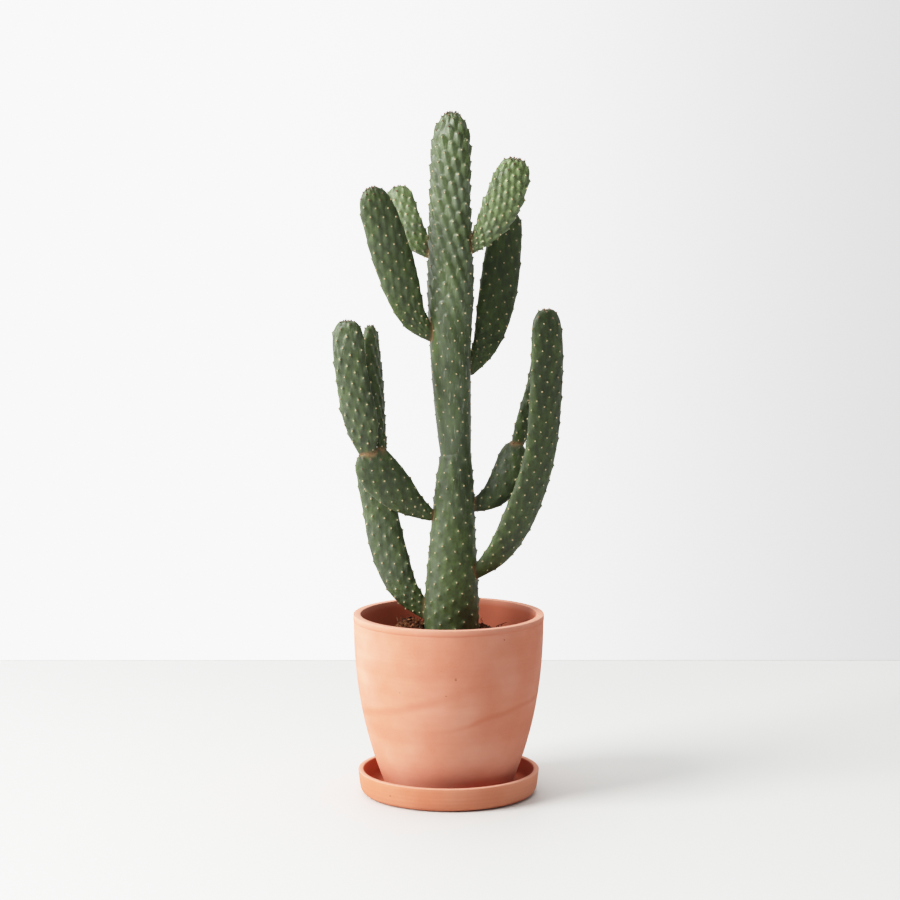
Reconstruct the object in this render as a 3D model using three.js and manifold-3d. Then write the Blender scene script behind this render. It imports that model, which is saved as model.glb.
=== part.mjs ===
// A potted paddle cactus: thirteen jointed stem segments, in a terracotta pot
// on its own saucer. Millimetres, +Z up, the front looks towards -Y, and the
// origin is the middle of the saucer's underside.

import * as THREE from 'three';
import { mergeVertices } from 'three/addons/utils/BufferGeometryUtils.js';
import Module from 'manifold-3d';

const wasm = await Module();
wasm.setup();

// Clearance between pieces that rest on or in each other, and what is added to
// it where the flat facets of two pieces face each other at a slant.
const GAP = 0.3;
const STEM_FACETS = 0.05;
const WALL_FACETS = 0.1;
const ROUND_SIDES = 40;

// Saucer.
const SAUCER_RADIUS = 95.5;
const SAUCER_FOOT_RADIUS = 86;
const SAUCER_HEIGHT = 25.4;
const SAUCER_WALL = 5.8;
const SAUCER_FLOOR = 7.2;
const SAUCER_EDGE_ROUND = 1.5;
// Hollow corner inside, and rounded corner outside, as [inwards, upwards].
const SAUCER_HOLLOW = [5.5, 3];
const SAUCER_CORNER = [[0, 0], [-4.5, 2], [-7, 6]];

// Pot. Its side swells from the foot and stands nearly upright at the rim.
const POT_RADIUS = 100;
const POT_FOOT_RADIUS = 66;
const POT_TOP = 190.6;
const POT_WALL = 7.6;
const POT_FLOOR = 10;
const POT_SWELL = 2.3;
const LIP_HEIGHT = 6;
const LIP_PROUD = 0.4;
const LIP_SHOULDER = 1;
const RIM_ROUND = 1.2;
const POT_FOOT_ROUND = [3, 2.5];
// Hollow corner of its inside, as [inwards, upwards].
const POT_HOLLOW = [[6, 0], [1, 4]];
const DRAIN_RADIUS = 6.5;
const POT_FOOT = SAUCER_FLOOR + GAP;
const POT_INSIDE_FLOOR = POT_FOOT + POT_FLOOR;
// Heights at which the curve of its side has a point.
const POT_STATIONS = [34, 54, 84, 118, 154];

// Soil, heaped up to the plant, with one higher heap at its front left.
const SOIL_LEVEL = 160;
const SOIL_HEAP = 15;
const SOIL_HEAP_REACH = 40;
const SIDE_HEAP = { x: -42, y: -10, height: 21, reach: 18 };
// Crumbs, waves that bend each other so that no two crumbs are alike.
const CRUMB_SIZE = 1.6;
const CRUMB_SPACING = 5;
const CRUMB_DEPTH_SHARE = 0.8;
const CRUMB_BEND = 1.5;
const STEM_X = 3;
// Profile of the stem's hole, radius and height, and how much narrower it is
// from front to back.
const STEM_HOLE = [[0, 121.6], [22, 121.6], [30, 157], [30.8, 170], [30.8, 220], [0, 220]];
const STEM_HOLE_DEPTH_SHARE = 0.92;
const SOIL_RINGS = [77, 66, 56, 48, 40, 32, 24, 0];

// The areoles sit on a spiral that turns by the golden angle each time.
const GOLDEN_TURN = (3 - Math.sqrt(5)) / 2;

// The neighbours that touch, near and far steps away on the spiral, and the
// steepest rise of one step, as a share of the way round.
const SPIRALS = {
  wide: { near: 5, far: 8, steepest: 0.017 },
  slim: { near: 3, far: 5, steepest: 0.034 },
};

// The spiral starts at this share of a segment's length, and ends where its
// tip is this narrow.
const SPIRAL_START = 0.012;
const TIP_RING = 3.2;
// How far up towards the next areole straight above the valley lies.
const VALLEY_SHARE = 0.42;
// A joint is bare of tubercles up to this share of its segment, and they reach
// their full height a little further on.
const BARE_JOINT = 0.04;
const RELIEF_GROWTH = 0.08;
const TIP_RELIEF_SHARE = 0.5;
// A segment's thickness follows its width to this power.
const FLATNESS = 0.75;
// Step, as a share, over which slopes of the skin are taken.
const SMALL = 1e-3;

// Stem segments. A route runs from the joint to the tip, and starts inside the
// piece that carries it. widths are half-widths between the tubercles, evenly
// spaced from joint to tip, thick is the largest half-thickness and thickTop what
// it thins to at the tip, tip the length of the round end, face the way the broad
// side looks in degrees from the front (positive to the right), hand the way its
// spiral climbs, area the skin that each areole has, and relief the height of a
// tubercle.
const SEGMENTS = {
  trunk_lower: {
    route: [[3, 0, 122], [3, 0, 173], [4, 0, 250], [6, 0, 320], [8, 0, 368]],
    widths: [20, 27.4, 28.6, 27, 24.4, 22, 19.3, 14.6],
    thick: 26, tip: 11, face: 0, hand: 1, area: 150, relief: 1.3, bareJoint: 0.1,
    spiral: 'wide',
    skin: 'grownSkin',
  },
  trunk_upper: {
    carrier: 'trunk_lower',
    route: [[8.5, 0, 343], [5, 0, 397], [2, 0, 465], [2, 0, 540], [1.5, 0, 630], [3.8, 0, 713]],
    widths: [15, 18.2, 20.5, 22.3, 24.2, 22.8, 21, 20.6, 17.5],
    thick: 21.5, thickTop: 11.5, tip: 30, face: -22, hand: 1, area: 123, relief: 2.1,
    spiral: 'wide',
    skin: 'grownSkin',
  },
  pad_upper_left: {
    carrier: 'trunk_upper',
    route: [[-14, -1, 480], [-36, -8, 502], [-54, -17, 553], [-69, -26, 602], [-80, -33, 637]],
    widths: [6, 13, 18, 20.4, 20.2, 18.4, 14],
    thick: 8, tip: 19, face: 8, hand: -1, area: 129, relief: 1.8,
    spiral: 'wide',
    skin: 'grownSkin',
  },
  pad_upper_left_back: {
    carrier: 'trunk_upper',
    route: [[-16, 6, 566], [-33, 12, 582], [-44, 19, 601], [-50, 26, 621], [-53, 31, 638]],
    widths: [6, 11.5, 14.6, 15.4, 14.6, 12],
    thick: 6, tip: 13, face: -12, hand: 1, area: 72, relief: 1.2,
    spiral: 'slim',
    skin: 'youngSkin',
  },
  pad_upper_right: {
    carrier: 'trunk_upper',
    route: [[20, -5, 570], [39, -9, 591], [54, -13, 617], [65, -17, 647], [69.5, -20, 668]],
    widths: [5, 10, 15.6, 18.6, 19, 17.8, 13.5],
    thick: 7.5, tip: 19, face: -10, hand: 1, area: 76, relief: 1.5,
    spiral: 'wide',
    skin: 'youngSkin',
  },
  pad_upper_right_back: {
    carrier: 'trunk_upper',
    route: [[19, 5, 443], [38, 11, 472], [51, 21, 524], [58, 30, 575], [64, 36, 613]],
    widths: [6, 12.6, 18, 20.4, 20.2, 18, 14],
    thick: 8, tip: 19, face: 14, hand: -1, area: 129, relief: 1.6,
    spiral: 'wide',
    skin: 'grownSkin',
  },
  pad_mid_left: {
    carrier: 'trunk_lower',
    route: [[-15, -4, 293], [-41, -10, 310], [-68, -17, 337], [-88, -23, 366]],
    widths: [5, 11.5, 18.4, 21.8, 21.4, 19],
    thick: 8.5, tip: 22, face: 6, hand: 1, area: 129, relief: 1.3,
    spiral: 'wide',
    skin: 'grownSkin',
  },
  pad_mid_left_front: {
    carrier: 'pad_mid_left',
    route: [[-83, -22, 358], [-88, -27, 385], [-97, -33, 430], [-102, -38, 470], [-103, -41, 504]],
    widths: [7.5, 15.6, 18.6, 17.6, 17, 16.8, 13.5],
    thick: 7.5, tip: 17, face: -14, hand: 1, area: 112, relief: 1.6,
    spiral: 'slim',
    skin: 'grownSkin',
  },
  pad_mid_left_back: {
    carrier: 'pad_mid_left',
    route: [[-67, -17, 357], [-72, -12, 390], [-76, -9, 429], [-80, -8, 468], [-81, -8, 495]],
    widths: [6, 9.5, 13, 15.5, 16.5, 15.5, 12],
    thick: 6.5, tip: 15, face: 70, hand: -1, area: 112, relief: 1.4,
    spiral: 'slim',
    skin: 'grownSkin',
  },
  pad_lower_left: {
    carrier: 'trunk_lower',
    route: [[-19, 5, 186], [-47, 11, 215], [-63, 17, 255], [-73, 22, 300], [-86, 27, 357]],
    widths: [6.5, 13.5, 18, 19.2, 18.2, 17, 13.5],
    thick: 8, tip: 20, face: -8, hand: -1, area: 129, relief: 1.4,
    spiral: 'wide',
    skin: 'grownSkin',
  },
  pad_lower_right: {
    carrier: 'trunk_lower',
    route: [
      [25, -6, 231], [53, -11, 258], [79, -17, 309], [95, -23, 365], [100, -30, 425],
      [101, -36, 475], [99, -40, 515],
    ],
    widths: [6, 14.6, 19, 19.2, 18.8, 19.2, 19.4, 18.8, 15.2],
    thick: 8, tip: 19, face: 32, hand: 1, area: 112, relief: 1.5,
    spiral: 'slim',
    skin: 'grownSkin',
  },
  pad_mid_right: {
    carrier: 'trunk_lower',
    route: [[19, 2, 302], [43.5, 6, 312], [59, 10, 329], [66.5, 14, 350], [71, 18, 371]],
    widths: [5, 10, 15, 17.2, 15.5, 12.5],
    thick: 8, tip: 16, face: -10, hand: -1, area: 118, relief: 1.3,
    spiral: 'slim',
    skin: 'grownSkin',
  },
  pad_mid_right_back: {
    carrier: 'pad_mid_right',
    route: [[70, 17, 362], [82, 22, 394], [93, 27, 425], [99, 32, 458], [101, 36, 482]],
    widths: [6, 10.5, 12.8, 13.4, 13, 11],
    thick: 6.5, tip: 13, face: 30, hand: 1, area: 100, relief: 1.4,
    spiral: 'slim',
    skin: 'grownSkin',
  },
};

// Colours from the photo.
const FINISHES = {
  terracottaPot: { color: 0xd7a085, roughness: 0.9, metalness: 0 },
  terracottaSaucer: { color: 0xd08a6a, roughness: 0.88, metalness: 0 },
  soil: { color: 0x49321f, roughness: 1, metalness: 0 },
  grownSkin: { color: 0x55643f, roughness: 0.55, metalness: 0 },
  youngSkin: { color: 0x8a9a68, roughness: 0.55, metalness: 0 },
};

const group = new THREE.Group();

function addMesh(name, geometry, finish) {
  geometry.computeVertexNormals();
  const mesh = new THREE.Mesh(geometry, new THREE.MeshStandardMaterial(FINISHES[finish]));
  mesh.name = name;
  group.add(mesh);
}

// ---- closed meshes, joining and cutting ----

// A mesh whose shared vertices are merged, without the flat triangles that a
// lathe leaves on its axis.
function closedMesh(geometry) {
  geometry.deleteAttribute('normal');
  geometry.deleteAttribute('uv');
  const merged = mergeVertices(geometry, 1e-4);
  const old = merged.index.array;
  const kept = [];
  for (let i = 0; i < old.length; i += 3) {
    const [a, b, c] = [old[i], old[i + 1], old[i + 2]];
    if (a !== b && b !== c && c !== a) kept.push(a, b, c);
  }
  merged.setIndex(kept);
  return merged;
}

function solidOf(geometry) {
  const vertProperties = new Float32Array(geometry.attributes.position.array);
  const triVerts = new Uint32Array(geometry.index.array);
  return new wasm.Manifold(new wasm.Mesh({ numProp: 3, vertProperties, triVerts }));
}

function geometryOf(solid) {
  const mesh = solid.getMesh();
  const geometry = new THREE.BufferGeometry();
  geometry.setAttribute('position', new THREE.BufferAttribute(new Float32Array(mesh.vertProperties), 3));
  geometry.setIndex(new THREE.BufferAttribute(new Uint32Array(mesh.triVerts), 1));
  return geometry;
}

// A round piece: its profile [radius, height] is turned about the Z axis.
function turned(profile) {
  const points = profile.map(([radius, height]) => new THREE.Vector2(radius, height));
  return closedMesh(new THREE.LatheGeometry(points, ROUND_SIDES).rotateX(Math.PI / 2));
}

// ---- saucer, pot and soil ----

function makeSaucer() {
  const inside = SAUCER_RADIUS - SAUCER_WALL;
  const [hollowIn, hollowUp] = SAUCER_HOLLOW;
  return turned([
    [0, 0],
    ...SAUCER_CORNER.map(([inwards, height]) => [SAUCER_FOOT_RADIUS - inwards, height]),
    [SAUCER_RADIUS, SAUCER_HEIGHT - SAUCER_EDGE_ROUND],
    [SAUCER_RADIUS - SAUCER_EDGE_ROUND, SAUCER_HEIGHT],
    [inside + SAUCER_EDGE_ROUND, SAUCER_HEIGHT],
    [inside, SAUCER_HEIGHT - SAUCER_EDGE_ROUND],
    [inside - hollowIn / 2, SAUCER_FLOOR + hollowUp],
    [inside - hollowIn, SAUCER_FLOOR],
    [0, SAUCER_FLOOR],
  ]);
}

// Outside radius of the pot's side at a height.
function potRadius(height) {
  const rise = (height - POT_FOOT) / (POT_TOP - POT_FOOT);
  const spread = POT_RADIUS - LIP_PROUD - POT_FOOT_RADIUS;
  return POT_FOOT_RADIUS + spread * (1 - (1 - rise) ** POT_SWELL);
}

// The inside of the pot, from the middle of its floor to the top of its wall.
function potInside() {
  const corner = potRadius(POT_INSIDE_FLOOR) - POT_WALL;
  return [
    ...POT_HOLLOW.map(([inwards, upwards]) => [corner - inwards, POT_INSIDE_FLOOR + upwards]),
    ...POT_STATIONS.map((height) => [potRadius(height) - POT_WALL, height]),
    [POT_RADIUS - POT_WALL, POT_TOP - RIM_ROUND],
  ];
}

function makePot() {
  const shoulder = POT_TOP - LIP_HEIGHT;
  const [footIn, footUp] = POT_FOOT_ROUND;
  return turned([
    [DRAIN_RADIUS, POT_FOOT],
    [POT_FOOT_RADIUS - footIn, POT_FOOT],
    [POT_FOOT_RADIUS, POT_FOOT + footUp],
    ...POT_STATIONS.map((height) => [potRadius(height), height]),
    [potRadius(shoulder), shoulder - LIP_SHOULDER],
    [POT_RADIUS, shoulder],
    [POT_RADIUS, POT_TOP - RIM_ROUND],
    [POT_RADIUS - RIM_ROUND, POT_TOP],
    [POT_RADIUS - POT_WALL + RIM_ROUND, POT_TOP],
    ...potInside().reverse(),
    [DRAIN_RADIUS, POT_INSIDE_FLOOR],
    [DRAIN_RADIUS, POT_FOOT],
  ]);
}

// Height of the soil above its level by the pot's wall: a heap round the stem,
// a side heap, and crumbs.
function soilRise(x, y) {
  const away = Math.hypot(x - STEM_X, y);
  const heap = SOIL_HEAP * Math.exp(-((away / SOIL_HEAP_REACH) ** 2));
  const sideAway = Math.hypot(x - SIDE_HEAP.x, y - SIDE_HEAP.y) / SIDE_HEAP.reach;
  const side = SIDE_HEAP.height * Math.exp(-(sideAway ** 2));
  const [u, v] = [x / CRUMB_SPACING, y / (CRUMB_SPACING * CRUMB_DEPTH_SHARE)];
  const crumb = Math.sin(u + CRUMB_BEND * Math.sin(v)) * Math.sin(v + CRUMB_BEND * Math.sin(u));
  return heap + side + CRUMB_SIZE * crumb;
}

// The soil fills the pot up to its level, and has a plain hole for the stem.
function makeSoil() {
  const wall = potInside().map(([radius, height]) => [radius - GAP - WALL_FACETS, height + GAP]);
  const below = wall.filter(([, height]) => height < SOIL_LEVEL);
  const [lowRadius, lowHeight] = below[below.length - 1];
  const [highRadius, highHeight] = wall[below.length];
  const share = (SOIL_LEVEL - lowHeight) / (highHeight - lowHeight);
  const edge = lowRadius + (highRadius - lowRadius) * share;
  const geometry = turned([
    [0, POT_INSIDE_FLOOR + GAP],
    ...below,
    [edge, SOIL_LEVEL],
    ...SOIL_RINGS.map((radius) => [radius, SOIL_LEVEL]),
  ]);
  const position = geometry.attributes.position;
  for (let i = 0; i < position.count; i += 1) {
    if (position.getZ(i) > SOIL_LEVEL - 1) {
      position.setZ(i, SOIL_LEVEL + soilRise(position.getX(i), position.getY(i)));
    }
  }
  const hole = turned(STEM_HOLE);
  hole.scale(1, STEM_HOLE_DEPTH_SHARE, 1);
  hole.translate(STEM_X, 0, 0);
  return geometryOf(solidOf(geometry).subtract(solidOf(hole)));
}

// ---- stem segments ----

// A smooth value at t, from 0 to 1, through evenly spaced ones.
function smoothThrough(values, t) {
  const place = t * (values.length - 1);
  const i = Math.min(Math.floor(place), values.length - 2);
  const f = place - i;
  const b = values[i];
  const c = values[i + 1];
  const a = i > 0 ? values[i - 1] : 2 * b - c;
  const d = i + 2 < values.length ? values[i + 2] : 2 * c - b;
  const bend = (2 * a - 5 * b + 4 * c - d) * f ** 2 + (3 * b - a - 3 * c + d) * f ** 3;
  return b + ((c - a) * f + bend) / 2;
}

// Turns, from 0 to 1 round an ellipse's edge, to the ellipse's own angle, so
// that equal turns are equal lengths of skin.
function evenAngles(halfWidth, halfThick) {
  const steps = 180;
  const lengths = [0];
  for (let i = 1; i <= steps; i += 1) {
    const angle = ((i - 0.5) / steps) * 2 * Math.PI;
    const step = Math.hypot(halfWidth * Math.sin(angle), halfThick * Math.cos(angle));
    lengths.push(lengths[i - 1] + step);
  }
  return (turn) => {
    const wanted = (turn - Math.floor(turn)) * lengths[steps];
    const i = Math.min(lengths.findIndex((length) => length > wanted), steps);
    const f = (wanted - lengths[i - 1]) / (lengths[i] - lengths[i - 1]);
    return ((i - 1 + f) / steps) * 2 * Math.PI;
  };
}

// The skin of a segment as a surface of turn and length.
function skinOf(segment) {
  const corners = segment.route.map((corner) => new THREE.Vector3(...corner));
  const curve = new THREE.CatmullRomCurve3(corners);
  const length = curve.getLength();
  const tipStart = 1 - segment.tip / length;
  const widest = Math.max(...segment.widths);
  const angleAt = evenAngles(widest, segment.thick);
  const yaw = THREE.MathUtils.degToRad(segment.face);
  const facing = new THREE.Vector3(Math.sin(yaw), -Math.cos(yaw), 0);

  const halfWidth = (t) => {
    const overTip = Math.max(0, (t - tipStart) / (1 - tipStart));
    const round = Math.sqrt(Math.max(0, 1 - overTip ** 2));
    return smoothThrough(segment.widths, t) * round;
  };
  const thinning = (segment.thickTop ?? segment.thick) - segment.thick;
  const halfThick = (t) => (segment.thick + thinning * t) * (halfWidth(t) / widest) ** FLATNESS;
  const around = (t) => {
    const a = halfWidth(t);
    const b = halfThick(t);
    return Math.PI * (3 * (a + b) - Math.sqrt((3 * a + b) * (a + 3 * b)));
  };
  const relief = (t) => {
    const bare = segment.bareJoint ?? BARE_JOINT;
    const fromFoot = THREE.MathUtils.smoothstep(t, bare, bare + RELIEF_GROWTH);
    const toTip = 1 - (1 - TIP_RELIEF_SHARE) * THREE.MathUtils.smoothstep(t, tipStart, 1);
    return segment.relief * fromFoot * toTip;
  };
  const place = (turn, t) => {
    const along = curve.getTangentAt(t);
    const out = facing.clone().addScaledVector(along, -facing.dot(along)).normalize();
    const across = new THREE.Vector3().crossVectors(along, out);
    const angle = angleAt(turn);
    return curve.getPointAt(t)
      .addScaledVector(across, halfWidth(t) * Math.cos(angle))
      .addScaledVector(out, -halfThick(t) * Math.sin(angle));
  };
  const point = (turn, t, lift) => {
    const before = Math.max(0, t - SMALL);
    const after = Math.min(1 - SMALL / 10, t + SMALL);
    const round = place(turn + SMALL, t).sub(place(turn - SMALL, t));
    const up = place(turn, after).sub(place(turn, before));
    const normal = new THREE.Vector3().crossVectors(round, up).normalize();
    return place(turn, t).addScaledVector(normal, lift);
  };
  return { curve, length, halfWidth, around, relief, point };
}

// Lengths along the segment at which the spiral's areoles sit. Where the skin
// narrows they crowd together, as they do at a growing tip.
function areoleLengths(segment, skin) {
  const steps = 4;
  const lengths = [SPIRAL_START];
  let t = lengths[0];
  while (skin.halfWidth(t) > TIP_RING || t < 0.5) {
    for (let i = 0; i < steps; i += 1) {
      const round = skin.around(t);
      const widening = skin.halfWidth(Math.min(t + SMALL, 1)) - skin.halfWidth(t);
      const slope = widening / (SMALL * skin.length);
      const rise = Math.min(segment.area / round, SPIRALS[segment.spiral].steepest * round);
      t += rise / (Math.hypot(1, slope) * skin.length * steps);
    }
    lengths.push(t);
  }
  return lengths;
}

// How far round, in turns, the areole that many steps up lies.
function offStraight(steps) {
  return steps * GOLDEN_TURN - Math.round(steps * GOLDEN_TURN);
}

// One segment. Each areole is the peak of a low four-sided tubercle, whose
// corners are the valleys that it shares with its neighbours on the spiral.
function makeSegment(segment, grow = 0) {
  const skin = skinOf(segment);
  const lengths = areoleLengths(segment, skin);
  const { near, far } = SPIRALS[segment.spiral];
  const both = near + far;
  const reach = both * VALLEY_SHARE;
  const count = Math.floor(lengths.length - 1 - reach);
  const lengthAt = (n) => {
    const i = Math.floor(n);
    return lengths[i] + (lengths[i + 1] - lengths[i]) * (n - i);
  };
  const offTurn = offStraight(both);
  const leftward = segment.hand * offStraight(near) < 0;

  const positions = [];
  const faces = [];
  const add = (point) => {
    positions.push(point.x, point.y, point.z);
    return positions.length / 3 - 1;
  };
  const peaks = [];
  const valleys = [];
  for (let n = 0; n < count; n += 1) {
    const turn = segment.hand * GOLDEN_TURN * n;
    const t = lengths[n];
    peaks.push(n < both ? -1 : add(skin.point(turn, t, skin.relief(t) + grow)));
    const valleyTurn = turn + segment.hand * offTurn * VALLEY_SHARE;
    valleys.push(add(skin.point(valleyTurn, lengthAt(n + reach), grow)));
  }
  const face = (a, b, c) => {
    if (leftward) faces.push(a, b, c);
    else faces.push(a, c, b);
  };
  for (let n = both; n < count; n += 1) {
    const corners = [valleys[n], valleys[n - far], valleys[n - both], valleys[n - near]];
    corners.forEach((corner, i) => face(peaks[n], corner, corners[(i + 1) % 4]));
  }
  const foot = add(skin.curve.getPointAt(0));
  const tipLift = skin.relief(1) + grow;
  const tip = add(skin.curve.getPointAt(1).addScaledVector(skin.curve.getTangentAt(1), tipLift));
  let k = 0;
  for (let i = 0; i < both; i += 1) {
    const next = k < far ? k + near : k - far;
    face(foot, valleys[k], valleys[next]);
    face(tip, valleys[count - both + next], valleys[count - both + k]);
    k = next;
  }
  const geometry = new THREE.BufferGeometry();
  geometry.setAttribute('position', new THREE.Float32BufferAttribute(positions, 3));
  geometry.setIndex(faces);
  return geometry;
}

// A segment is seated on its carrier: what lies inside the carrier, or within
// the gap of it, is cut away.
function makeSeatedSegment(segment) {
  if (!segment.carrier) return makeSegment(segment);
  const carrier = solidOf(makeSegment(SEGMENTS[segment.carrier], GAP + STEM_FACETS));
  return geometryOf(solidOf(makeSegment(segment)).subtract(carrier));
}

addMesh('saucer', makeSaucer(), 'terracottaSaucer');
addMesh('pot', makePot(), 'terracottaPot');
addMesh('soil', makeSoil(), 'soil');
for (const [name, segment] of Object.entries(SEGMENTS)) {
  addMesh(name, makeSeatedSegment(segment), segment.skin);
}

export default group;
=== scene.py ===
# %% [markdown]
# # A potted paddle cactus
#
# The plant is a jointed cactus: thick stem segments and flat pads that snap off
# at narrow joints. Its skin carries low bumps, the tubercles, set out in spirals,
# and each bump ends in a woolly cushion, the areole. It stands in an unglazed
# terracotta pot on a saucer. The solids of the plant are a fixed frame, and this
# lesson builds a finer skin over each of them.

# %% Load the fixed frame
import math
import random
from functools import partial

import bpy
import numpy as np
from mathutils import Matrix, Vector
from mathutils.bvhtree import BVHTree


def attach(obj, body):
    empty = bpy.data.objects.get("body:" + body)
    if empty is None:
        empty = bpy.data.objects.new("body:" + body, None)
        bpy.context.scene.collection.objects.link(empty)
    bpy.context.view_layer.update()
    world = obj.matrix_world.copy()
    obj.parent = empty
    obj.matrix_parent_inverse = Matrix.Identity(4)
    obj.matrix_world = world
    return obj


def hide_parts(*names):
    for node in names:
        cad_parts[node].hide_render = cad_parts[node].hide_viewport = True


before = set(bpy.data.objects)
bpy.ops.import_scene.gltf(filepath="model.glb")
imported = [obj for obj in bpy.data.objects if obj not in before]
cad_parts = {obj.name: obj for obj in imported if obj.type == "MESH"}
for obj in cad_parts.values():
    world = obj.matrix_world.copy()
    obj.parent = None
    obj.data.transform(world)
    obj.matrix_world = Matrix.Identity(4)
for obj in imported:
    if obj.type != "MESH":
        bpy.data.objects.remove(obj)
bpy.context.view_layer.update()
MM = 0.001
print("solids in the frame:", len(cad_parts))

# %% [markdown]
# ## Camera
#
# The photo was taken with a long lens from 2.7 m away, a little below the height
# of the plant's tip and tilted down by 7 degrees. Both ellipses of the pot, its
# rim and the saucer, give those numbers, so they are typed in and not guessed.

# %% Camera
bpy.ops.object.camera_add(
    location=(0.0015, -2.708, 0.690),
    rotation=(math.radians(90 - 6.88), 0, 0),
)
camera = bpy.context.object
camera.name = "photo_camera"
camera.data.sensor_width = 36
camera.data.lens = 104.7
bpy.context.scene.camera = camera
print("camera:", tuple(round(c, 3) for c in camera.location))

# %% [markdown]
# ## Selecting and settling
#
# An operator works on whatever is selected, so each piece starts from an empty
# selection. A primitive keeps its place in its object; settling it moves that
# place into the mesh, and leaves the object at the origin.


# %% Selection helpers
def deselect_all():
    bpy.ops.object.select_all(action="DESELECT")


def select_only(piece):
    deselect_all()
    piece.select_set(True)
    bpy.context.view_layer.objects.active = piece


def settle(name):
    """The new primitive, named, with its place in its mesh."""
    piece = bpy.context.object
    piece.name = name
    piece.data.name = name
    bpy.ops.object.transform_apply(location=True, rotation=True, scale=True)
    return piece


def triples(collection, field):
    values = np.empty(len(collection) * 3)
    collection.foreach_get(field, values)
    return values.reshape(-1, 3)


def points_of(piece):
    return triples(piece.data.vertices, "co")


def reach_of(points):
    """How far each point stands from the upright axis."""
    return np.hypot(points[:, 0], points[:, 1])


def parts_of(points, size=4000):
    """Slices that go through the points a few thousand at a time, to spare memory."""
    return [slice(start, start + size) for start in range(0, len(points), size)]


def surface_of(piece):
    """The piece as a tree of faces, which finds the nearest place on it quickly."""
    return BVHTree.FromPolygons(
        [v.co for v in piece.data.vertices], [p.vertices for p in piece.data.polygons]
    )


def paint(piece, name, values):
    """Keeps one number for each point, for the materials to read."""
    attribute = piece.data.attributes.new(name, "FLOAT", "POINT")
    attribute.data.foreach_set("value", np.asarray(values, np.float32))


def weigh(piece, name, weights):
    """A vertex group with a weight for each point."""
    group = piece.vertex_groups.new(name=name)
    for point, weight in enumerate(weights.tolist()):
        if weight > 0:
            group.add([point], weight, "REPLACE")


def apply_modifier(piece, kind, **settings):
    modifier = piece.modifiers.new(kind.title(), kind)
    for setting, value in settings.items():
        setattr(modifier, setting, value)
    select_only(piece)
    bpy.ops.object.modifier_apply(modifier=modifier.name)


def smooth(piece):
    select_only(piece)
    bpy.ops.object.shade_smooth()


def leave_editing():
    """Turns all faces outwards, and goes back from editing to the object."""
    bpy.ops.mesh.select_all(action="SELECT")
    bpy.ops.mesh.normals_make_consistent(inside=False)
    bpy.ops.object.mode_set(mode="OBJECT")


def smooth_step(low, high, value):
    share = np.clip((value - low) / (high - low), 0, 1)
    return share * share * (3 - 2 * share)


def hand_over(piece, slot, *nodes):
    """The finished piece rides on the frame, and stands for its solids."""
    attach(piece, "root")
    if nodes:
        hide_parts(*nodes)
    print(piece.name, len(piece.data.polygons), "faces")


# %% [markdown]
# ## Colours and nodes
#
# Colours are read off the photo as the hex values that a screen shows. Blender
# mixes light in linear values, so one function turns the one into the other.
# Every material is a small net of nodes, and one function adds a node, sets it
# and joins it up. Clay and skin get their colour in layers, one laid over the last.


# %% Colours and nodes
def linear(hex_colour):
    values = [int(hex_colour[i : i + 2], 16) / 255 for i in (1, 3, 5)]
    return [v / 12.92 if v <= 0.04045 else ((v + 0.055) / 1.055) ** 2.4 for v in values] + [1]


def set_sockets(node, inputs):
    """Gives a socket a value or a hex colour, or joins it to another node's socket."""
    for socket, value in inputs.items():
        if isinstance(value, bpy.types.NodeSocket):
            node.id_data.links.new(value, node.inputs[socket])
        else:
            node.inputs[socket].default_value = linear(value) if isinstance(value, str) else value


def add_node(tree, kind, inputs, out=0, stops=(), **settings):
    """One node with its settings and links. It gives back its socket named by out."""
    node = tree.nodes.new("ShaderNode" + kind)
    for setting, value in settings.items():
        setattr(node, setting, value)
    set_sockets(node, inputs)
    for place, colour in stops:
        node.color_ramp.elements.new(place).color = linear(colour)
    if stops:
        node.color_ramp.elements.remove(node.color_ramp.elements[0])
        node.color_ramp.elements.remove(node.color_ramp.elements[-1])
    return node.outputs[out]


def lay_over(add, below, above, share, low=0, high=1, most=1, times=()):
    """Lays a colour over another, as far as a pattern has risen from low to high."""
    if (low, high, most) != (0, 1, 1):
        share = add("MapRange", {"Value": share, "From Min": low, "From Max": high, "To Max": most})
    for factor in times:
        share = add("Math", {0: share, 1: factor}, operation="MULTIPLY")
    return add("Mix", {0: share, 6: below, 7: above}, out=2, data_type="RGBA")


def new_material(name):
    """A material, what adds a node to it, its shader, and the place of each point."""
    material = bpy.data.materials.new(name)
    material.use_nodes = True
    add = partial(add_node, material.node_tree)
    place = add("TexCoord", {}, out="Object")
    return material, add, material.node_tree.nodes["Principled BSDF"], place


# %% [markdown]
# ## Terracotta
#
# Terracotta is red earthenware, fired once and left without a glaze, so it is
# dead matte and slightly chalky. The iron in the clay gives the orange, and dried
# salts and handling leave pale, cloudy patches. A pot is pressed on a turning
# wheel, which leaves faint level lines, and a slow sweep of the wet sponge leaves
# slanting ones.


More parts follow.
